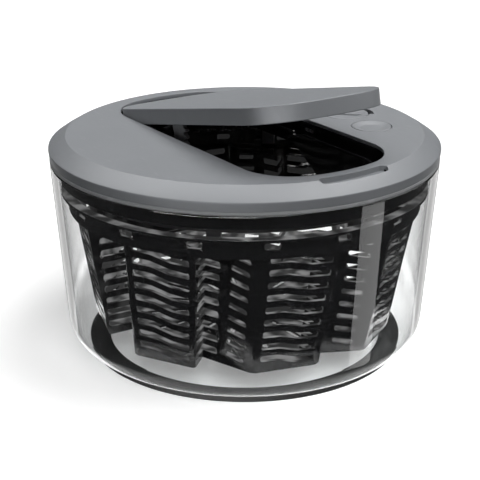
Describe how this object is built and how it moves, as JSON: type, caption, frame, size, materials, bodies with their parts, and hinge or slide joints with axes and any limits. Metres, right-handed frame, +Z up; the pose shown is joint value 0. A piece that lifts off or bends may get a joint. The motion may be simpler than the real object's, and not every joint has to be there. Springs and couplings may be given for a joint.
{
  "type": "salad spinner",
  "caption": "Salad spinner: a slotted basket turns in a clear bowl, driven through the rim by a long hinged lever in the lid, with a stop button and a lever lock.",
  "frame": {"origin": "middle of the foot ring, on the surface that the bowl stands on", "axes": "+Z up along the basket's axis, +X towards the free end of the lever, +Y towards the stop button and the lock"},
  "size_m": [0.262, 0.262, 0.1917],
  "materials": {
    "clear_plastic": "clear and glossy",
    "black_gloss": "glossy",
    "black_plastic": "satin",
    "grey_plastic": "matte, finely textured",
    "white_plastic": "satin, natural acetal",
    "grey_rubber": "satin",
    "black_rubber": "matte",
    "steel": "plain"
  },
  "bodies": {
    "bowl": {"bowl": "clear_plastic", "foot_ring": "black_rubber"},
    "basket": {"basket": "black_gloss", "pivot_cup": "white_plastic"},
    "lid": {"lid_cover": "grey_plastic", "lid_base": "black_gloss", "lid_seal": "grey_rubber", "gear_cover": "black_gloss", "ring_retainer": "black_plastic", "hinge_pin": "steel", "crown_gear_pin": "steel", "step_gear_pin": "steel", "clutch_pin": "steel", "brake_spring": "steel", "lever_spring": "steel", "latch_cover": "black_plastic"},
    "drive_ring": {"drive_ring": "black_plastic"},
    "ring_pinion": {"ring_pinion": "white_plastic"},
    "lever": {"lever_cover": "grey_plastic", "lever_frame": "black_plastic", "drive_sector": "black_plastic", "lever_stops": "black_rubber"},
    "crown_gear": {"crown_gear": "white_plastic"},
    "step_gear": {"step_gear": "white_plastic"},
    "clutch": {"clutch_gear": "white_plastic", "clutch_rollers": "steel"},
    "brake": {"brake_button": "grey_plastic", "brake_arm": "black_plastic", "brake_pad": "black_rubber"},
    "lock_knob": {"lock_knob": "grey_plastic"},
    "lock_bolt": {"lock_bolt": "steel"}
  },
  "joints": [
    {"name": "lid_lift", "type": "slide", "parent": "bowl", "child": "lid", "axis": [0, 0, 1], "range_m": [0, 0.06]},
    {"name": "basket_spin", "type": "hinge", "parent": "bowl", "child": "basket", "pos_m": [0, 0, 0.014], "axis": [0, 0, 1], "continuous": true},
    {"name": "ring_spin", "type": "hinge", "parent": "lid", "child": "drive_ring", "pos_m": [0, 0, 0.12], "axis": [0, 0, 1], "continuous": true},
    {"name": "pinion_spin", "type": "hinge", "parent": "lid", "child": "ring_pinion", "pos_m": [0.00508, -0.08986, 0.12], "axis": [0, 0, 1], "continuous": true},
    {"name": "lever_pump", "type": "hinge", "parent": "lid", "child": "lever", "pos_m": [-0.096, 0, 0.141], "axis": [0, 1, 0], "range_deg": [0, 12.5], "stiffness_Nm_per_rad": 2.5, "springref_deg": -14.32, "deforming": ["lever_spring"]},
    {"name": "crown_spin", "type": "hinge", "parent": "lid", "child": "crown_gear", "pos_m": [0.00508, -0.05, 0.12733], "axis": [0, 1, 0], "range_deg": [-201, 1]},
    {"name": "step_spin", "type": "hinge", "parent": "lid", "child": "step_gear", "pos_m": [0.00508, -0.06586, 0.108], "axis": [0, 0, 1], "range_deg": [-501, 1]},
    {"name": "clutch_spin", "type": "hinge", "parent": "lid", "child": "clutch", "pos_m": [0.00508, -0.08986, 0.108], "axis": [0, 0, 1], "range_deg": [-1, 1501]},
    {"name": "brake_press", "type": "slide", "parent": "lid", "child": "brake", "axis": [0, 0, -1], "range_m": [0, 0.003], "stiffness_N_per_m": 700, "springref_m": -0.002, "deforming": ["brake_spring"]},
    {"name": "lock_turn", "type": "hinge", "parent": "lid", "child": "lock_knob", "pos_m": [0.0045, 0.082, 0.145], "axis": [0, 0, 1], "range_deg": [-45, 0]},
    {"name": "lock_slide", "type": "slide", "parent": "lid", "child": "lock_bolt", "axis": [0, 1, 0], "range_m": [-0.00384, 0]}
  ],
  "couplings": [
    {"joint": "ring_spin", "follows": "basket_spin", "ratio": 1},
    {"joint": "pinion_spin", "follows": "basket_spin", "ratio": 6},
    {"joint": "crown_spin", "follows": "lever_pump", "ratio": -16},
    {"joint": "step_spin", "follows": "lever_pump", "ratio": -40},
    {"joint": "clutch_spin", "follows": "lever_pump", "ratio": 120},
    {"joint": "lock_slide", "follows": "lock_turn", "m_per_rad": 0.0048725}
  ]
}
